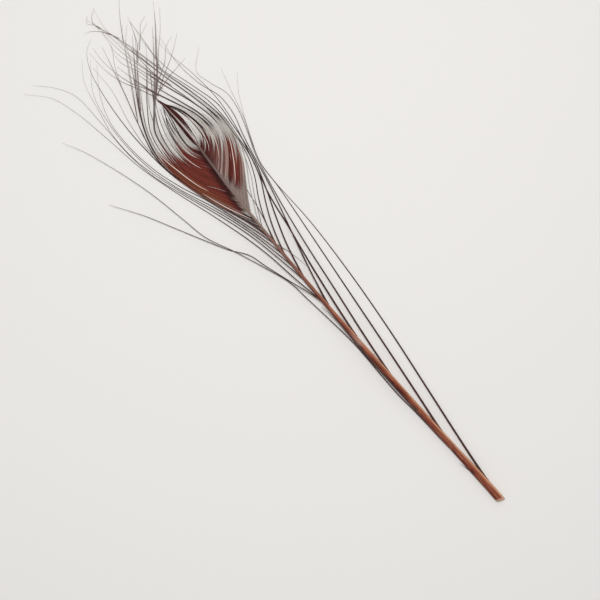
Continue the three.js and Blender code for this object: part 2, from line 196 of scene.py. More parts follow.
# Pale barbs that lie on the patches like seams: girth and route.
PALE_BARBS = [
    (0.33, [(134, 4.0), (138, 5.8), (143, 8.1), (148, 10.0), (153, 11.7)]),
    (0.33, [(152, 9.4), (156, 11.0), (160, 12.1), (165, 13.2), (170, 14.2), (175, 14.8)]),
    (0.05, [(148, 4.8), (150, 6.0), (152, 7.3), (154, 8.8)]),
    (0.26, [(160, 6.2), (162, 7.0), (165, 7.8), (168, 8.2), (173, 8.0)]),
    (0.28, [(164, 5.0), (167, 5.9), (171, 6.2), (176, 5.8)]),
    (0.31, [(147.8, 0.7), (150, -1.2), (153, -3.4), (156, -5.3), (160, -7.6), (164, -9.3)]),
    (0.25, [(158.5, -0.8), (160, -1.9), (163, -3.6), (167, -4.8), (173, -5.0)]),
    (0.25, [(163, 0.1), (165, -1.2), (169, -2.2), (175, -2.2), (180, -0.9)]),
]

# Barbs that meet at the tip: girth, whether brown (1) or near-black (0), and route.
TIP_BARBS = [
    (0.34, 0, [(165, 3.2), (168, 4.4), (172, 4.6), (176, 4.1), (180, 3.1), (184, 2.4), (187, 2.1)]),
    (0.3, 0, [(170, 6.6), (174, 6.8), (178, 6.0), (181, 4.9), (184, 3.3), (187, 2.0)]),
    (0.45, 0, [(163, 0.2), (166, -1.2), (170, -2.0), (175, -2.1), (179, -1.5), (182, -0.6),
               (185, 0.9), (187.5, 1.9)]),
    (0.5, 0, [(169, -4.0), (174, -3.4), (178, -2.6), (181, -1.6), (184, -0.1), (186, 1.2),
              (188.5, 2.0)]),
    (0.5, 1, [(172.5, 0.2), (176, -0.15), (180, 0.05), (183, 0.55), (187, 1.8)]),
    (0.65, 1, [(169.5, 0.6), (175, 0.35), (180, 0.5), (184, 1.0), (187.5, 1.9)]),
    (0.5, 1, [(171, 1.0), (176, 0.85), (181, 1.05), (185, 1.5), (188, 2.0)]),
]

# Barbs that stand apart from the eye: the height at which the far half lies, how thick its root is
# against the thickest, how soon it thins (1 is an even taper, less is later), and its route.
LOOSE_BARBS = [
    (2.6, 0.66, 0.55, [
        (22, 1.9), (27, 2.45), (33, 2.85), (40, 3.2), (46, 3.65), (52, 4.2), (62, 4.4),
        (70, 4.4), (78, 4.65), (100, 7.1), (108.5, 8.2), (118, 11.6), (129, 16.0), (140, 20.9), (150, 22.9),
        (165, 25.9), (180, 30.3), (192, 34.8), (199, 38.5),
    ]),
    (2.2, 0.56, 0.42, [
        (95, 3.6), (100, 4.9), (109, 8.0), (118, 10.9), (125, 13.0), (131, 17.2), (138, 21.1),
        (150, 27.4), (160, 32.7), (171.5, 40.1),
    ]),
    (4.4, 1.2, 0.4, [
        (36, 2.4), (50, 3.2), (60, 3.6), (68, 3.95), (76, 4.05), (88, 4.15), (94.5, 5.05),
    ]),
    (0.9, 0.68, 1.2, [
        (94, 3.4), (108, 5.8), (120, 7.55), (130, 9.75), (145, 14.1), (160, 18.9), (175, 22.9),
        (190, 25.2), (205, 28.0), (214, 31.2), (221.5, 38.0),
    ]),
    (0.5, 0.58, 1.1, [
        (104.5, 3.4), (116, 5.4), (130, 8.15), (142, 11.8), (155, 16.5), (168, 20.9), (180, 22.9),
        (196, 23.3), (209, 24.1), (216, 27.8), (222, 33.5),
    ]),
    (0.15, 0.53, 1, [
        (111, 3.4), (120, 5.1), (130, 7.2), (142, 10.9), (155, 15.9), (168, 20.2), (179, 22.6),
        (190, 22.9), (200, 21.1), (211, 18.5), (218, 13.8),
    ]),
    (0.15, 0.53, 1, [
        (117, 3.4), (125, 5.2), (135, 7.85), (146, 11.5), (160, 17.2), (173, 20.6), (186, 21.7),
        (197, 20.9), (206, 18.6), (216, 11.5),
    ]),
    (0.55, 0.6, 1, [
        (122, 3.3), (130, 5.5), (140, 8.7), (150, 12.0), (160, 16.2), (171, 19.5), (182, 21.0),
        (194, 20.6), (204, 17.0), (213, 11.0),
    ]),
    (0.15, 1.1, 1.0, [
        (125.5, 3.3), (134, 5.5), (145, 9.6), (155, 13.2), (166, 15.9), (177, 17.1), (189, 17.4),
        (203, 16.2), (213, 14.1), (219, 10.6), (221.5, 6.5),
    ]),
    (0.15, 1.4, 1.2, [
        (8, -0.4), (24, -2.2), (48, -5.3), (72, -8.3), (96, -10.5), (120, -11.6), (140, -11.05),
        (149, -11.7), (157, -14.6), (166, -18.4), (173, -22.0), (178.5, -26.0),
    ]),
    (0.15, 1.3, 1.05, [
        (32, 0.9), (48, -1.1), (72, -3.9), (96, -6.5), (120, -9.1), (138, -10.9), (147, -11.3),
        (155, -13.6), (165, -17.5), (175, -20.1), (183.5, -22.5),
    ]),
    (0.55, 1.2, 1.1, [
        (59, 1.9), (76, -0.05), (96, -2.7), (114, -5.0), (132, -7.8), (144, -10.2), (152, -12.2),
        (160, -15.2), (168, -17.7), (175, -18.3), (182, -16.0), (188, -14.9), (194, -21.0),
    ]),
    (0.15, 1.22, 1.1, [
        (78, 2.4), (92, 0.6), (108, -1.7), (124, -4.4), (136, -6.2), (146, -8.7), (155, -11.0),
        (165, -13.3), (176, -14.4), (188, -13.5), (200, -11.4), (208, -11.0),
    ]),
    (0.55, 0.9, 0.95, [
        (93, 2.8), (106, 0.0), (120, -3.6), (132, -6.8), (142, -9.3), (150, -10.9), (160, -13.2),
        (168, -15.4), (176, -15.6), (184, -13.0), (195, -11.6), (206, -12.8),
    ]),
    (0.9, 1.0, 1.15, [
        (107, 3.1), (120, 0.0), (130, -3.4), (140, -7.2), (150, -10.4), (159, -12.0), (166, -12.7),
        (174, -13.3), (184, -10.9), (196, -7.6), (206, -7.0), (217, -8.2),
    ]),
    (0.15, 0.8, 1.1, [
        (117.5, 3.1), (128, -0.2), (136, -3.8), (144, -7.9), (152, -10.2), (160, -11.2), (168, -12.0),
        (177, -11.5), (186, -9.2), (196, -6.0), (210, -2.6), (220, 0.3), (229.4, -1.0),
    ]),
    (0.9, 0.62, 1.1, [
        (122.5, 3.0), (131, 0.6), (138, -2.4), (146, -6.9), (154, -9.8), (163, -11.0), (173, -11.0),
        (184, -8.8), (196, -5.6), (211, -1.9), (228, 3.6),
    ]),
    (0.7, 0.45, 0.8, [
        (124, 2.9), (131, 0.75), (137, -0.5), (144, -1.6), (150, -3.4), (157, -7.4), (163, -10.4),
    ]),
    (0.15, 0.42, 0.8, [
        (95, 2.8), (99, 1.8), (104, 0.5), (109, -0.6), (116, -2.4), (124, -4.6), (133, -5.9),
        (141, -7.5), (150, -10.0),
    ]),
    (0.3, 0.3, 0.6, [
        (121.5, 2.8), (116, 1.0), (112, 0.2), (108.5, -0.3),
    ]),
    (0.5, 0.25, 0.6, [
        (130, 3.0), (134, 0.9), (140, -2.0), (147, -6.0), (154, -8.8), (161, -10.2),
    ]),
    (1.6, 0.3, 0.6, [
        (13.5, 1.8), (16.5, 2.45), (19.5, 3.15),
    ]),
]


def smooth(value, low, high):
    """0 below low, 1 above high and an even rise between them."""
    share = np.clip((np.asarray(value, float) - low) / (high - low), 0, 1)
    return share * share * (3 - 2 * share)


def shaft_at(x):
    """The shaft's place across, underside, width and depth at places along the feather."""
    x = np.clip(np.asarray(x, float), SHAFT[0, 0], SHAFT[-1, 0])
    after = np.clip(np.searchsorted(SHAFT[:, 0], x), 1, len(SHAFT) - 1)
    low, high = SHAFT[after - 1], SHAFT[after]
    share = (x - low[..., 0]) / (high[..., 0] - low[..., 0])
    share = 0.5 * share + 0.5 * share * share * (3 - 2 * share)
    return (low + (high - low) * share[..., None])[..., 1:]


# Straight steps between two points of a route, before its places are spaced evenly.
CURVE_STEPS = 24


def curve_through(points, count, ends_at=1.0):
    """Evenly spaced places on a smooth curve through points, up to the share ends_at of its length.
    points is (..., number, 2)."""
    points = np.asarray(points, float)
    before = 2 * points[..., :1, :] - points[..., 1:2, :]
    after = 2 * points[..., -1:, :] - points[..., -2:-1, :]
    p = np.concatenate([before, points, after], axis=-2)
    gap = np.sqrt(np.linalg.norm(np.diff(p, axis=-2), axis=-1))[..., None]
    a, b, c, d = p[..., :-3, :], p[..., 1:-2, :], p[..., 2:-1, :], p[..., 3:, :]
    ga, gb, gc = gap[..., :-2, :], gap[..., 1:-1, :], gap[..., 2:, :]
    leave = ((b - a) / ga - (c - a) / (ga + gb) + (c - b) / gb) * gb
    arrive = ((c - b) / gb - (d - b) / (gb + gc) + (d - c) / gc) * gb
    t = np.linspace(0, 1, CURVE_STEPS, endpoint=False)[:, None]
    b, c, leave, arrive = (v[..., None, :] for v in (b, c, leave, arrive))
    dense = ((2 * t**3 - 3 * t**2 + 1) * b + (t**3 - 2 * t**2 + t) * leave
             + (3 * t**2 - 2 * t**3) * c + (t**3 - t**2) * arrive)
    dense = dense.reshape(*points.shape[:-2], -1, 2)
    dense = np.concatenate([dense, points[..., -1:, :]], axis=-2)
    step = np.linalg.norm(np.diff(dense, axis=-2), axis=-1)
    reach = np.concatenate([np.zeros((*step.shape[:-1], 1)), np.cumsum(step, axis=-1)], axis=-1)
    flat, lengths = dense.reshape(-1, dense.shape[-2], 2), reach.reshape(-1, reach.shape[-1])
    ends = np.broadcast_to(np.asarray(ends_at, float), dense.shape[:-2]).reshape(-1)
    placed = []
    for route, length, end in zip(flat, lengths, ends):
        at = np.linspace(0, length[-1] * end, count)
        placed.append(np.stack([np.interp(at, length, route[:, k]) for k in (0, 1)], axis=-1))
    return np.array(placed).reshape(*dense.shape[:-2], count, 2)


# How high on the shaft's side the roots are, as shares of its depth: the lowest, and more for each deck.
ROOT_LOW, ROOT_PER_DECK = 0.35, 0.16


def heights(route, low, deck, lift):
    """How high a barb lies along its route: from the shaft's side down to its place on the table."""
    root = shaft_at(route[:, 0, 0])
    share = np.linspace(0, 1, route.shape[1])[None, :]
    middle = root[:, 1] + root[:, 3] * (ROOT_LOW + ROOT_PER_DECK * deck)
    fall = smooth(share, 0, DRAPE)
    crossing = lift * smooth(route[..., 0], CROSSING_FROM, CROSSING_TO)
    return middle[:, None] * (1 - fall) + np.asarray(low)[:, None] * fall + crossing


def new_piece(name, material, rings, facts):
    """One smooth piece of closed tubes. rings is (tubes, places, sides, 3) in millimetres from the cut
    end, and facts are numbers kept on its points."""
    tubes, places, sides = rings.shape[:3]
    points = (rings - np.array([ORIGIN_ALONG, ORIGIN_ACROSS, 0])) * MM
    points[..., 2] = np.maximum(points[..., 2], 0)
    number = np.arange(tubes * places * sides).reshape(tubes, places, sides)
    a, b = number[:, :-1], number[:, 1:]
    walls = np.stack([a, np.roll(a, -1, 2), np.roll(b, -1, 2), b], axis=-1).reshape(-1, 4)
    ends = number[:, 0, ::-1].tolist() + number[:, -1].tolist()
    mesh = bpy.data.meshes.new(name)
    mesh.from_pydata(points.reshape(-1, 3).tolist(), [], walls.tolist() + ends)
    mesh.shade_smooth()
    mesh.materials.append(material)
    for fact, values in facts.items():
        spread = np.broadcast_to(np.asarray(values, np.float32), (tubes, places, sides))
        mesh.attributes.new(fact, "FLOAT", "POINT").data.foreach_set("value", spread.reshape(-1))
    piece = bpy.data.objects.new(name, mesh)
    bpy.context.scene.collection.objects.link(piece)
    return piece


def barb_piece(name, material, route, height, width, depth, sides, facts):
    """One piece of many tapered barbs. route is (barbs, places, 2), and each fact is one number, one
    for each barb or one for each place."""
    centre = np.concatenate([route, height[..., None]], axis=-1)
    direction = np.gradient(centre, axis=1)
    direction /= np.linalg.norm(direction, axis=-1, keepdims=True)
    across = np.stack([-direction[..., 1], direction[..., 0], np.zeros_like(height)], axis=-1)
    across /= np.linalg.norm(across, axis=-1, keepdims=True)
    up = np.cross(direction, across)
    angle = (np.arange(sides) + 0.5) / sides * 2 * math.pi
    ring = (np.cos(angle)[:, None] * across[:, :, None] * (width / 2)[:, :, None, None]
            + np.sin(angle)[:, None] * up[:, :, None] * (depth / 2)[:, :, None, None])
    round_the_ring = {fact: np.asarray(values)[..., None] for fact, values in facts.items()}
    return new_piece(name, material, centre[:, :, None] + ring, round_the_ring)


def between_guides(guides, place):
    """Routes whose place in the row of guides, 0 for the first and 1 for the second, is given at each
    step. place is (barbs, steps)."""
    guides = np.asarray(guides, float)
    low = np.clip(np.floor(place).astype(int), 0, len(guides) - 2)
    share = (place - low)[..., None]
    step = np.arange(guides.shape[1])
    return guides[low, step] * (1 - share) + guides[low + 1, step] * share


# Materials

def linear(code):
    """An sRGB hex colour as the linear numbers that a shader takes."""
    parts = [int(code[i:i + 2], 16) / 255 for i in (1, 3, 5)]
    return (*[v / 12.92 if v <= 0.04045 else ((v + 0.055) / 1.055) ** 2.4 for v in parts], 1)


def add(material, kind, inputs, stops=(), **settings):
    """Adds one shader node: its inputs take a socket, a number or a hex colour, and stops are a ramp's."""
    node = material.node_tree.nodes.new(kind)
    for name, value in settings.items():
        setattr(node, name, value)
    for name, value in inputs.items():
        if isinstance(value, bpy.types.NodeSocket):
            material.node_tree.links.new(value, node.inputs[name])
        else:
            node.inputs[name].default_value = linear(value) if isinstance(value, str) else value
    if stops:
        bands = node.color_ramp.elements
        while len(bands) < len(stops):
            bands.new(1)
        for band, (place, code) in zip(bands, stops):
            band.position, band.color = place, linear(code)
    return node


def new_material(name):
    """An empty material."""
    material = bpy.data.materials.new(name)
    material.use_nodes = True
    material.node_tree.nodes.clear()
    return material


def quill_horn():
    """Stripped quill, hard brown horn: satin, with a painted highlight in tan along the side towards the
    light and painted shade in dark brown along its far edge, with fine lengthwise grain and small dark
    scars where the barbs were torn off."""
    material = new_material("quill horn, stripped")
    side = add(material, "ShaderNodeAttribute", {}, attribute_name="side").outputs["Fac"]
    along = add(material, "ShaderNodeAttribute", {}, attribute_name="along").outputs["Fac"]
    # Painted highlight and shade: pale tan along the side towards the light, darkening to near-black brown
    # along the far edge.
    painted_light_and_shade = add(material, "ShaderNodeValToRGB", {"Fac": side}, [
        (0, "#c69474"), (0.15, "#d6a482"), (0.27, "#a86243"), (0.45, "#883e24"), (0.7, "#73311e"),
        (0.88, "#4a2019"), (1, "#361814")]).outputs["Color"]
    place = add(material, "ShaderNodeTexCoord", {}).outputs["Object"]
    # Grain of the horn: streaks 0.3 mm wide and 9 mm long, faint where the painted highlight is.
    streaks = add(material, "ShaderNodeMapping", {"Vector": place, "Scale": (110, 3400, 3400)})
    grain = add(material, "ShaderNodeTexNoise", {"Vector": streaks.outputs[0], "Scale": 1, "Detail": 4})
    light_and_dark = add(material, "ShaderNodeValToRGB", {"Fac": grain.outputs["Fac"]}, [
        (0.34, "#330f09"), (0.5, "#7d3520"), (0.68, "#bd8262")]).outputs["Color"]
    strength = add(material, "ShaderNodeMapRange", {"Value": side, 1: 0.15, 2: 0.4, 3: 0.12, 4: 0.62})
    grained = add(material, "ShaderNodeMix", {0: strength.outputs[0], 6: painted_light_and_shade, 7: light_and_dark},
                  data_type="RGBA").outputs[2]
    # Scars of the torn barbs: dark specks about 0.5 mm across.
    specks = add(material, "ShaderNodeMapping", {"Vector": place, "Scale": (900, 2000, 2000)})
    scars = add(material, "ShaderNodeTexNoise", {"Vector": specks.outputs[0], "Scale": 1, "Detail": 2})
    scarred = add(material, "ShaderNodeMapRange", {
        "Value": scars.outputs["Fac"], 1: 0.6, 2: 0.72, 4: 0.6})
    stripped = add(material, "ShaderNodeMix", {0: scarred.outputs[0], 6: grained, 7: "#4a241b"},
                   data_type="RGBA").outputs[2]
    # Dark blotches along the stripped edge.
    stained = add(material, "ShaderNodeAttribute", {}, attribute_name="blotch").outputs["Fac"]
    blotched = add(material, "ShaderNodeMix", {0: stained, 6: stripped, 7: "#2b100c"},
                   data_type="RGBA").outputs[2]
    # The cut end shows pale horn for the first millimetre.
    cut = add(material, "ShaderNodeMapRange", {"Value": along, 1: 0.006, 2: 0.002, 4: 0.7})
    ended = add(material, "ShaderNodeMix", {0: cut.outputs[0], 6: blotched, 7: "#d3ab90"},
                data_type="RGBA").outputs[2]
    # From 75 to 80 mm its skin is worn off and tan horn shows.
    worn = add(material, "ShaderNodeValToRGB", {"Fac": along}, [
        (0.385, "#000000"), (0.395, "#c8c8c8"), (0.41, "#a0a0a0"), (0.43, "#000000")]).outputs["Color"]
    bared = add(material, "ShaderNodeMix", {0: worn, 6: ended, 7: "#b28d7b"}, data_type="RGBA").outputs[2]
    # In the eye the quill is thin and grey, and dark again at its very tip.
    thin = add(material, "ShaderNodeMapRange", {"Value": along, 1: 0.43, 2: 0.68})
    in_eye = add(material, "ShaderNodeValToRGB", {"Fac": along}, [
        (0.5, "#623a32"), (0.6, "#7c584f"), (0.67, "#82695f"), (0.72, "#8a756b"), (0.78, "#7a6762"),
        (0.84, "#6a5450")]).outputs["Color"]
    eyed = add(material, "ShaderNodeMix", {0: thin.outputs[0], 6: bared, 7: in_eye},
               data_type="RGBA").outputs[2]
    # The last 25 mm have a painted highlight in pale pink along the side towards the light and painted
    # shade in near-black along the other side.
    tip_begins = add(material, "ShaderNodeMapRange", {"Value": along, 1: 0.855, 2: 0.885})
    tip_painted_light_and_shade = add(material, "ShaderNodeValToRGB", {"Fac": side}, [
        (0, "#c3aaa1"), (0.3, "#b0958c"), (0.45, "#3a1714"), (1, "#1f0a09")]).outputs["Color"]
    tipped = add(material, "ShaderNodeMix", {0: tip_begins.outputs[0], 6: eyed, 7: tip_painted_light_and_shade},
                 data_type="RGBA").outputs[2]
    tip_ends = add(material, "ShaderNodeMapRange", {"Value": along, 1: 0.955, 2: 0.975})
    colour = add(material, "ShaderNodeMix", {0: tip_ends.outputs[0], 6: tipped, 7: "#4a2620"},
                 data_type="RGBA").outputs[2]
    bump = add(material, "ShaderNodeBump", {
        "Height": grain.outputs["Fac"], "Strength": 0.3, "Distance": 0.0001})
    shader = add(material, "ShaderNodeBsdfPrincipled", {
        "Base Color": colour, "Normal": bump.outputs[0], "Roughness": 0.45, "IOR": 1.54,
        "Specular IOR Level": 0.2})
    add(material, "ShaderNodeOutputMaterial", {"Surface": shader.outputs[0]})
    return material


def bare_barb():
    """Barb keratin with its fluff burnt off: a near-black brown thread, red-brown at the very root and
    thinner, greyer and paler towards the tip. Hardly any gloss, because its skin is scuffed."""
    material = new_material("bare barb keratin")
    tone = add(material, "ShaderNodeAttribute", {}, attribute_name="tone").outputs["Fac"]
    along = add(material, "ShaderNodeAttribute", {}, attribute_name="along").outputs["Fac"]
    thread = add(material, "ShaderNodeValToRGB", {"Fac": along}, [
        (0, "#6e3b2c"), (0.03, "#452a25"), (0.35, "#3f2824"), (0.6, "#3f2d2a"), (0.8, "#50413d"),
        (1, "#8b807c")]).outputs["Color"]
    colour = add(material, "ShaderNodeMix", {0: tone, 6: thread, 7: "#a0948f"},
                 data_type="RGBA").outputs[2]
    shader = add(material, "ShaderNodeBsdfPrincipled", {
        "Base Color": colour, "Roughness": 0.6, "IOR": 1.54, "Specular IOR Level": 0.1})
    add(material, "ShaderNodeOutputMaterial", {"Surface": shader.outputs[0]})
    return material


def eye_barb():
    """Eye barb keratin: flat with fine fluff over the patch, where it is maroon beside the quill and
    orange-brown at the outer edge, then bare and near-black, or pale beige where it is thinnest."""
    material = new_material("eye barb keratin")
    fact = {name: add(material, "ShaderNodeAttribute", {}, attribute_name=name).outputs["Fac"]
            for name in ("tone", "brown", "warm", "mauve", "filled", "pale", "along")}
    patch = add(material, "ShaderNodeValToRGB", {"Fac": fact["warm"]}, [
        (0, "#371613"), (0.2, "#52211d"), (0.45, "#6e2d26"), (0.75, "#7e3e2d"),
        (1, "#884b34")]).outputs["Color"]
    # Grey is the own colour of the grey-mauve barbs and the seams, and on the right patch it is also a
    # painted sheen.
    grey = add(material, "ShaderNodeValToRGB", {"Fac": fact["mauve"]}, [
        (0.6, "#8a6a63"), (0.9, "#a98d83"), (1, "#e6d2c8")]).outputs["Color"]
    greyed = add(material, "ShaderNodeMix", {0: fact["mauve"], 6: patch, 7: grey},
                 data_type="RGBA").outputs[2]
    # Each barb is a little lighter or darker than the next, which draws the fine streaks of the patch.
    streaked = add(material, "ShaderNodeMix", {0: fact["tone"], 6: greyed, 7: "#1c0908"},
                   data_type="RGBA").outputs[2]
    dark = add(material, "ShaderNodeValToRGB", {"Fac": fact["along"]}, [
        (0.3, "#2a100d"), (0.58, "#3d1f1a"), (0.72, "#5e443e"), (0.86, "#85726c"),
        (1, "#aa9d97")]).outputs["Color"]
    light = add(material, "ShaderNodeValToRGB", {"Fac": fact["along"]}, [
        (0.3, "#d2ccc4"), (0.5, "#eae7e2"), (1, "#efede9")]).outputs["Color"]
    bare = add(material, "ShaderNodeMix", {0: fact["pale"], 6: dark, 7: light},
               data_type="RGBA").outputs[2]
    root = add(material, "ShaderNodeMix", {0: fact["filled"], 6: bare, 7: "#8f7e76"},
               data_type="RGBA").outputs[2]
    colour = add(material, "ShaderNodeMix", {0: fact["brown"], 6: root, 7: streaked},
                 data_type="RGBA").outputs[2]
    shader = add(material, "ShaderNodeBsdfPrincipled", {
        "Base Color": colour, "Roughness": 0.6, "IOR": 1.54, "Specular IOR Level": 0.12})
    add(material, "ShaderNodeOutputMaterial", {"Surface": shader.outputs[0]})
    return material


def white_board():
    """Matt white board: a pale warm white."""
    material = new_material("matt white board")
    shader = add(material, "ShaderNodeBsdfPrincipled", {"Base Color": "#ebe9e6", "Roughness": 0.9})
    add(material, "ShaderNodeOutputMaterial", {"Surface": shader.outputs[0]})
    return material


# Pieces

SHAFT_PLACES, SHAFT_SIDES = 420, 28
# The shaft's measures are evened out over this many places.
EVENED_OVER = 15
# The slanted cut fades out over this many millimetres.
CUT_REACH = 6
BLOTCH_STRENGTH = 0.8


def build_shaft(material):
    """The quill: round, a little flattened, and cut at a slant."""
    x = np.linspace(SHAFT[0, 0], SHAFT[-1, 0], SHAFT_PLACES)
    even = np.ones(EVENED_OVER) / EVENED_OVER
    y, under, width, depth = (
        np.convolve(np.pad(v, EVENED_OVER // 2, "edge"), even, "valid") for v in shaft_at(x).T)
    angle = (np.arange(SHAFT_SIDES) + 0.5) / SHAFT_SIDES * 2 * math.pi
    across, rise = np.cos(angle), np.sin(angle)
    rings = np.empty((1, SHAFT_PLACES, SHAFT_SIDES, 3))
    rings[..., 0] = x[:, None] + CUT_SLANT / 2 * across * smooth(-x, -CUT_REACH, -x[0])[:, None]
    rings[..., 1] = y[:, None] + across * width[:, None] / 2
    rings[..., 2] = (under + depth / 2)[:, None] + rise * depth[:, None] / 2
    blotch = np.zeros((SHAFT_PLACES, SHAFT_SIDES))
    for spot_x, spot_y, half_x, half_y in BLOTCHES:
        away = ((x[:, None] - spot_x) / half_x) ** 2 + ((rings[0, ..., 1] - spot_y) / half_y) ** 2
        blotch = np.maximum(blotch, BLOTCH_STRENGTH * np.exp(-away))
    # side runs from 0 on the side towards the light to 1 on the far side; the horn's painted highlight and
    # shade follow it.
    along = (x[:, None] - x[0]) / (x[-1] - x[0])
    return new_piece("shaft", material, rings, {"side": (across + 1) / 2, "along": along, "blotch": blotch})


LOOSE_PLACES = 120
# Widths in mm of the thickest loose barb: its length, its tip, and what its root has more.
LOOSE_WIDTH, LOOSE_TIP, ROOT_FLARE = 0.66, 0.05, 0.25
# The flare is gone after about this share of a barb's length.
FLARE_LENGTH = 1 / 60
LOOSE_FLATNESS = 0.85


def build_loose(material):
    """The long barbs that stand apart, one route each."""
    routes = np.array([curve_through(route, LOOSE_PLACES) for *_, route in LOOSE_BARBS])
    low, girth, taper = np.array([facts[:3] for facts in LOOSE_BARBS]).T
    height = heights(routes, low, np.ones(len(low)), 0)
    share = np.linspace(0, 1, LOOSE_PLACES)[None, :]
    width = LOOSE_WIDTH * girth[:, None] * (1 - share) ** taper[:, None] + LOOSE_TIP
    width += ROOT_FLARE * girth[:, None] * np.exp(-share / FLARE_LENGTH)
    facts = {"along": share, "tone": CHANCE.uniform(0, 0.06, (len(low), 1))}
    return barb_piece("loose_barbs", material, routes, height, width, LOOSE_FLATNESS * width, 6, facts)


def joined_lines(start, lines):
    """The line that each barb joins, from the nearest ones for each line in turn, or -1 for none."""
    joins = np.full(len(start), -1)
    for number, (place, barbs, _) in enumerate(lines):
        distance = np.abs(start - place) + 100 * (joins >= 0)
        joins[np.argsort(distance)[:barbs]] = number
    return joins


EYE_PLACES = 60
# Places in the row of guides by which chance moves the barbs' roots and their places in a line.
ROOT_SCATTER, LINE_SCATTER = 0.025, 0.045
# Millimetres by which chance moves where a barb's brown begins, and how far it wanders sideways.
BROWN_SCATTER, WANDER = 0.4, 0.04
# The share of barbs between the lines that are brief, and by how much the others are longer.
BRIEF, NOT_BRIEF_REACH = 0.65, 0.13
# The share of barbs in a line that end early, and how much of their length they keep.
EARLY, EARLY_REACH = 0.4, 0.72
# Barbs that keep more than this of their guide's length splay and curl at the far end: a few of them
# (strays) more than the rest, in places in the row of guides.
FREE_REACH = 0.87
STRAYS, STRAY_SPLAY, SPLAY = 0.12, 0.6, 0.1
EYE_DEPTH = 0.16


def eye_row(side, look):
    """The barbs of one side of the eye: where each starts in its row of guides, which line it joins,
    whether it lies flat on the patch, and where its brown begins and stops."""
    guides, patch, _, lines = side
    last = len(guides) - 1
    even = np.linspace(0, last, EYE_BARBS)
    start = np.clip(even + CHANCE.normal(0, ROOT_SCATTER, EYE_BARBS), 0, last)
    joins = joined_lines(start, lines)
    flat_from, begins, stops, grey, flat = (np.interp(start, patch[:, 0], patch[:, k]) for k in range(1, 6))
    spread = flat > CHANCE.uniform(0, 1, EYE_BARBS)
    kept = spread | (joins >= 0) | (CHANCE.uniform(0, 1, EYE_BARBS) < look["outside"])
    barbs = kept.sum()
    return SimpleNamespace(
        start=start[kept], joins=joins[kept], alone=joins[kept] < 0, spread=spread[kept],
        flat_from=flat_from[kept], grey=grey[kept],
        begins=begins[kept] + CHANCE.normal(0, BROWN_SCATTER, barbs),
        stops=stops[kept] + CHANCE.normal(0, look["uneven"], barbs))


def eye_routes(guides, lines, row, look):
    """The barbs' routes, which gather into lines and part again, and how much of its guide each keeps."""
    barbs, steps = len(row.start), len(guides[0])
    goal, line_reach = np.array([(place, reach) for place, _, reach in lines]).T
    goal = np.where(row.alone, row.start, goal[row.joins] + CHANCE.normal(0, LINE_SCATTER, barbs))
    brief = CHANCE.uniform(0, 1, barbs) < BRIEF
    early = CHANCE.uniform(0, 1, barbs) < EARLY
    veil = np.where(brief, look["veil"], look["veil"] + NOT_BRIEF_REACH) + CHANCE.uniform(0, 0.1, barbs)
    in_line = line_reach[row.joins] * np.where(early, EARLY_REACH, 1) * CHANCE.uniform(0.85, 1, barbs)
    reach = np.where(row.alone, veil, in_line)
    free = reach > FREE_REACH

    stage = np.linspace(0, 1, steps)[None, :]
    gather = smooth(stage, look["gather_from"], look["gather_from"] + 0.3)
    splay = np.where(CHANCE.uniform(0, 1, barbs) < STRAYS, STRAY_SPLAY, SPLAY)
    splay = (CHANCE.normal(0, 1, barbs) * splay * free)[:, None] * smooth(stage, 0.6, 1) ** 1.5
    place = row.start[:, None] * (1 - gather) + goal[:, None] * gather + splay
    wander = CHANCE.normal(0, WANDER, (barbs, steps, 2)) * (stage[..., None] > 0)
    guided = between_guides(guides, np.clip(place, 0, len(guides) - 1))
    routes = curve_through(guided + wander, EYE_PLACES, reach)
    last_quarter = np.maximum(np.linspace(0, 1, EYE_PLACES)[None, :] - 0.75, 0) * 4
    curl = CHANCE.normal(0, 0.8, barbs)[:, None] * last_quarter ** 2
    routes[..., 1] += curl * (free & ~row.alone)[:, None]
    return routes, reach


def eye_warmth(routes, row, look):
    """How orange each barb is along the patch: maroon beside the quill and towards the patch's end."""
    x = routes[..., 0]
    away = np.abs(routes[..., 1] - shaft_at(x)[..., 0])
    nearby = away + np.maximum(x - 145, 0) / 17
    glow = 0.55 * smooth(nearby, 1.4, 4) + 0.45 * smooth(away - (x - 145) * 0.28, 3, 6.2)
    warm = look["inner"] + (look["outer"] - look["inner"]) * glow
    # The barbs beside the tip of the shaft, whose brown goes on past 180 mm, darken least.
    darker = np.where(row.stops > 180, 0.2, look["darker"])[:, None]
    warm = warm * (1 - darker * smooth(x, 158, 173)) + CHANCE.normal(0, 0.05, len(x))[:, None]
    return np.clip(warm, 0, 1)


def eye_facts(routes, reach, row, seams, on_seam, look):
    """The numbers that give each barb its colours along its length."""
    x, barbs = routes[..., 0], len(routes)
    filled = smooth(x - row.flat_from[:, None], -1, 3) * (1 - smooth(x - row.stops[:, None], -6, 2))
    red_to = row.stops + np.where(row.alone, 0, 3)
    brown = smooth(x - row.begins[:, None], -1.5, 1) * (1 - smooth(x - red_to[:, None], -3, 2))
    uneven_grey = np.where(row.grey > 0.2, CHANCE.normal(0, 0.2, barbs), 0)
    mauve = np.clip(row.grey + uneven_grey, 0, 0.92)[:, None] * np.ones_like(x)
    for share_on, (_, _, seam_from, seam_to, paleness) in zip(on_seam, seams):
        within = smooth(x, seam_from - 2, seam_from + 2) * (1 - smooth(x, seam_to - 3, seam_to + 1))
        mauve = np.maximum(mauve, paleness * share_on[:, None] * within)
    warm = eye_warmth(routes, row, look)
    pale = np.where(row.alone, CHANCE.uniform(0.8, 1, barbs), CHANCE.uniform(0, 0.15, barbs))[:, None]
    before_dark = 1 - smooth(x, look["dark_from"] - 3, look["dark_from"] + 2)
    return {
        "along": np.linspace(0, 1, EYE_PLACES)[None, :] * reach[:, None],
        "tone": np.clip(CHANCE.normal(0.1, 0.2, (barbs, 1)), 0, 0.7),
        "brown": brown * row.spread[:, None], "warm": warm, "mauve": mauve,
        "filled": filled * row.spread[:, None], "pale": np.maximum(pale, 0.75 * before_dark),
    }


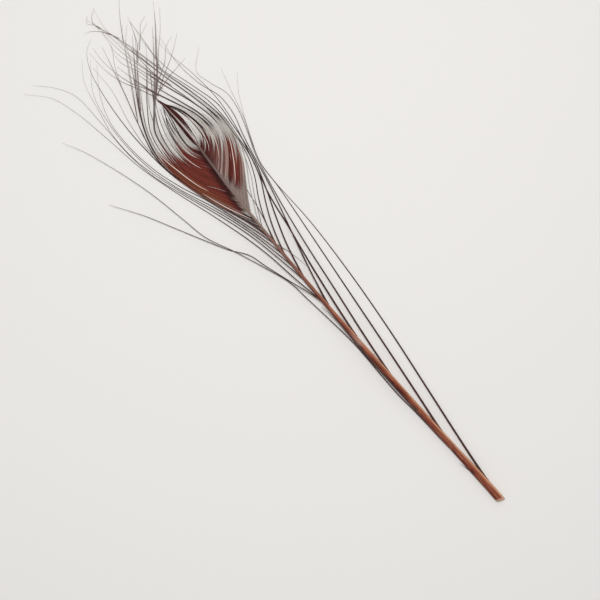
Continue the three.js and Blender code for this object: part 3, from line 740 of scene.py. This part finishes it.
def build_eye(name, side, look, lift, material):
    """One side of the eye: barbs fill the patch side by side, then gather into lines and part again."""
    guides, _, seams, lines = side
    row = eye_row(side, look)
    routes, reach = eye_routes(guides, lines, row, look)
    on_seam = np.array([np.exp(-((row.start - place) / half) ** 2) for place, half, *_ in seams])
    seamed = on_seam.max(0)
    # Seams lie on top, at deck 2, and the other barbs at chance below them.
    deck = np.where(seamed > 0.5, 2, CHANCE.uniform(0, 1.6, len(seamed)))
    height = heights(routes, LOWEST + STACK * deck / 2, deck, lift)
    facts = eye_facts(routes, reach, row, seams, on_seam, look)

    bare = np.where(row.alone[:, None], VEIL_WIDTH, LINE_WIDTH - LINE_THINS_BY * facts["along"])
    # The outermost barbs are thinner up to the patch.
    outermost = (row.start < 1.3)[:, None]
    bare = bare * (1 - 0.5 * outermost * (1 - smooth(routes[..., 0], 140, 152)))
    flat = FLAT_WIDTH - SEAM_NARROWER * seamed[:, None]
    taper = 1 - 0.6 * smooth(np.linspace(0, 1, EYE_PLACES)[None, :], 0.8, 1)
    width = (bare + facts["filled"] * (flat - bare)) * taper
    return barb_piece(name, material, routes, height, width, np.minimum(bare, EYE_DEPTH), 5, facts)


# The numbers of a bare dark eye barb. The pieces below state what differs.
BARE = {"along": 0, "tone": 0, "brown": 0, "warm": 0, "mauve": 0, "filled": 0, "pale": 0}
SHORT_PLACES = 40
FAR_END_WIDTH, FAR_END_THINS_BY = 0.22, 0.14


def build_far_ends(material):
    """The finest far ends, which come down from their lines to lie on the table."""
    routes = np.array([curve_through(route, SHORT_PLACES) for _, route in FAR_ENDS])
    leaves_at = np.array([height for height, _ in FAR_ENDS])[:, None]
    share = np.linspace(0, 1, SHORT_PLACES)[None, :]
    height = LOWEST + (leaves_at - LOWEST) * (1 - smooth(share, 0.1, 0.9))
    width = np.repeat(FAR_END_WIDTH - FAR_END_THINS_BY * share, len(FAR_ENDS), axis=0)
    facts = BARE | {"along": 0.78 + 0.22 * share}
    return barb_piece("far_ends", material, routes, height, width, width, 5, facts)


# Pale barbs lie on the shaft's shoulder, at this share of its depth, and come down to the top of the
# patch between these distances from it in mm.
SHOULDER = 0.8
PALE_DOWN_FROM, PALE_DOWN_TO = 2, 16
PALE_ENDS = 0.03


def build_pale(material):
    """The pale barbs that lie on the patches, highest beside the shaft as the patches are."""
    girth = np.array([girth for girth, _ in PALE_BARBS])[:, None]
    routes = np.array([curve_through(route, SHORT_PLACES) for _, route in PALE_BARBS])
    share = np.linspace(0, 1, SHORT_PLACES)[None, :]
    across, under, _, depth = np.moveaxis(shaft_at(routes[..., 0]), -1, 0)
    down = smooth(np.abs(routes[..., 1] - across), PALE_DOWN_FROM, PALE_DOWN_TO)
    height = (under + SHOULDER * depth) * (1 - down) + (LOWEST + STACK * 1.1) * down
    width = girth * (share * (1 - share) * 4) ** 0.7 + PALE_ENDS
    facts = BARE | {"along": share, "brown": 1, "mauve": 1, "pale": 1}
    return barb_piece("pale_barbs", material, routes, height, width, 0.4 * width, 5, facts)


def build_tip(material):
    """The barbs on both sides that run together where the shaft ends, thickest past their middle."""
    girth, brown = np.array([facts[:2] for facts in TIP_BARBS]).T[..., None]
    routes = np.array([curve_through(route, SHORT_PLACES) for *_, route in TIP_BARBS])
    share = np.linspace(0, 1, SHORT_PLACES)[None, :]
    height = np.full((len(TIP_BARBS), SHORT_PLACES), LOWEST + STACK)
    width = girth * (0.25 + 0.75 * np.sin(math.pi * share ** 1.2))
    facts = BARE | {"along": 0.35, "brown": brown, "warm": 0.08}
    return barb_piece("tip_barbs", material, routes, height, width, 0.5 * width, 5, facts)


# Table, light and camera

# The camera: how wide its view is on the table, how high it is, where it looks and how it is turned.
VIEW_WIDTH_MM = 216
LENS_HEIGHT = 0.6
VIEW_ALONG, VIEW_ACROSS = 101.1, 9.4
TURN = math.radians(-130)
SENSOR_MM = 36
# Lamps: name, size, power, colour and place.
LAMPS = [
    ("lamp above", 0.16, 3.45, (1, 0.992, 0.985), (0.07, -0.06, 0.75)),
    ("window", 0.7, 0.52, (1, 0.95, 0.9), (0.36, -0.43, 0.6)),
]
ROOM_COLOUR, ROOM_LIGHT = (0.97, 0.975, 1, 1), 0.37
TABLE_HALF = 1.5


def build_table(material):
    """A pale board, wider than the view."""
    mesh = bpy.data.meshes.new("table")
    signs = [(-1, -1), (1, -1), (1, 1), (-1, 1)]
    corners = [(TABLE_HALF * along, TABLE_HALF * across, 0) for along, across in signs]
    mesh.from_pydata(corners, [], [(0, 1, 2, 3)])
    mesh.materials.append(material)
    piece = bpy.data.objects.new("table", mesh)
    bpy.context.scene.collection.objects.link(piece)


def build_light():
    """A small light above the feather, a faint window on its right, and an even pale room."""
    world = bpy.data.worlds.new("pale room")
    world.use_nodes = True
    background = world.node_tree.nodes["Background"]
    background.inputs["Color"].default_value = ROOM_COLOUR
    background.inputs["Strength"].default_value = ROOM_LIGHT
    bpy.context.scene.world = world
    for name, size, energy, colour, place in LAMPS:
        data = bpy.data.lights.new(name, "AREA")
        data.shape = "DISK"
        data.size = size
        data.energy = energy
        data.color = colour
        lamp = bpy.data.objects.new(name, data)
        lamp.location = place
        lamp.rotation_euler = (-lamp.location).to_track_quat("-Z", "Y").to_euler()
        bpy.context.scene.collection.objects.link(lamp)


def build_camera():
    """Straight above the middle of the photograph, turned so that the feather points up and left."""
    data = bpy.data.cameras.new("camera")
    data.sensor_width = SENSOR_MM
    data.lens = SENSOR_MM * LENS_HEIGHT / (VIEW_WIDTH_MM * MM)
    camera = bpy.data.objects.new("camera", data)
    camera.location = ((VIEW_ALONG - ORIGIN_ALONG) * MM, (VIEW_ACROSS - ORIGIN_ACROSS) * MM, LENS_HEIGHT)
    camera.rotation_euler = (0, 0, TURN)
    bpy.context.scene.collection.objects.link(camera)
    bpy.context.scene.camera = camera


build_camera()
build_light()
build_table(white_board())
bpy.context.scene.view_settings.view_transform = "Standard"

eye_keratin = eye_barb()
shaft = build_shaft(quill_horn())
loose = build_loose(bare_barb())
left = build_eye("eye_left", LEFT, LEFT_LOOK, CROSSING_LIFT, eye_keratin)
right = build_eye("eye_right", RIGHT, RIGHT_LOOK, 0, eye_keratin)
ends = build_far_ends(eye_keratin)
pale = build_pale(eye_keratin)
tip = build_tip(eye_keratin)
for piece in (shaft, loose, left, right, ends, pale, tip):
    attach(piece, "root")
    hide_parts("feather")
